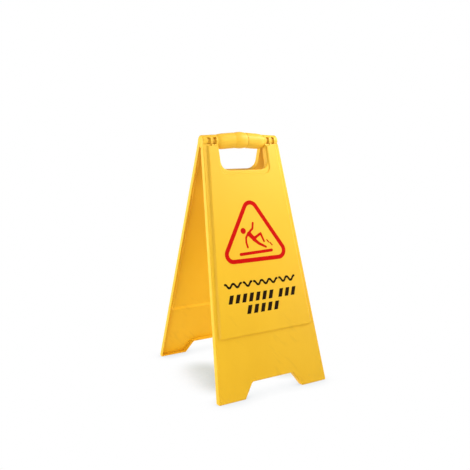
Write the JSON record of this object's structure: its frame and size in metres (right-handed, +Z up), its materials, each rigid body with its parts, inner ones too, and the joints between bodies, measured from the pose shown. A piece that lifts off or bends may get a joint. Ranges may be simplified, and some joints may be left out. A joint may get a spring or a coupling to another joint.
{
  "type": "slippery surface warning sign",
  "caption": "Folding A-frame floor sign of moulded plastic, with a handle bar over its hand hole, a hooked hinge and notched feet; it stands open to warn of a slippery surface.",
  "frame": {"origin": "on the floor, midway between the feet, straight below the hinge line", "axes": "+X along the hinge line and across the panels, -Y out of the front panel, +Z up from the floor; the sign stands open"},
  "size_m": [0.306, 0.361, 0.6211],
  "materials": {
    "front_panel": "moulded polypropylene, satin",
    "back_panel": "moulded polypropylene, satin"
  },
  "bodies": {
    "back_panel": {"back_panel": "back_panel"},
    "front_panel": {"front_panel": "front_panel"}
  },
  "joints": [
    {"name": "panel_hinge", "type": "hinge", "parent": "back_panel", "child": "front_panel", "pos_m": [0, 0, 0.59716], "axis": [1, 0, 0], "range_deg": [0, 31.2]}
  ]
}
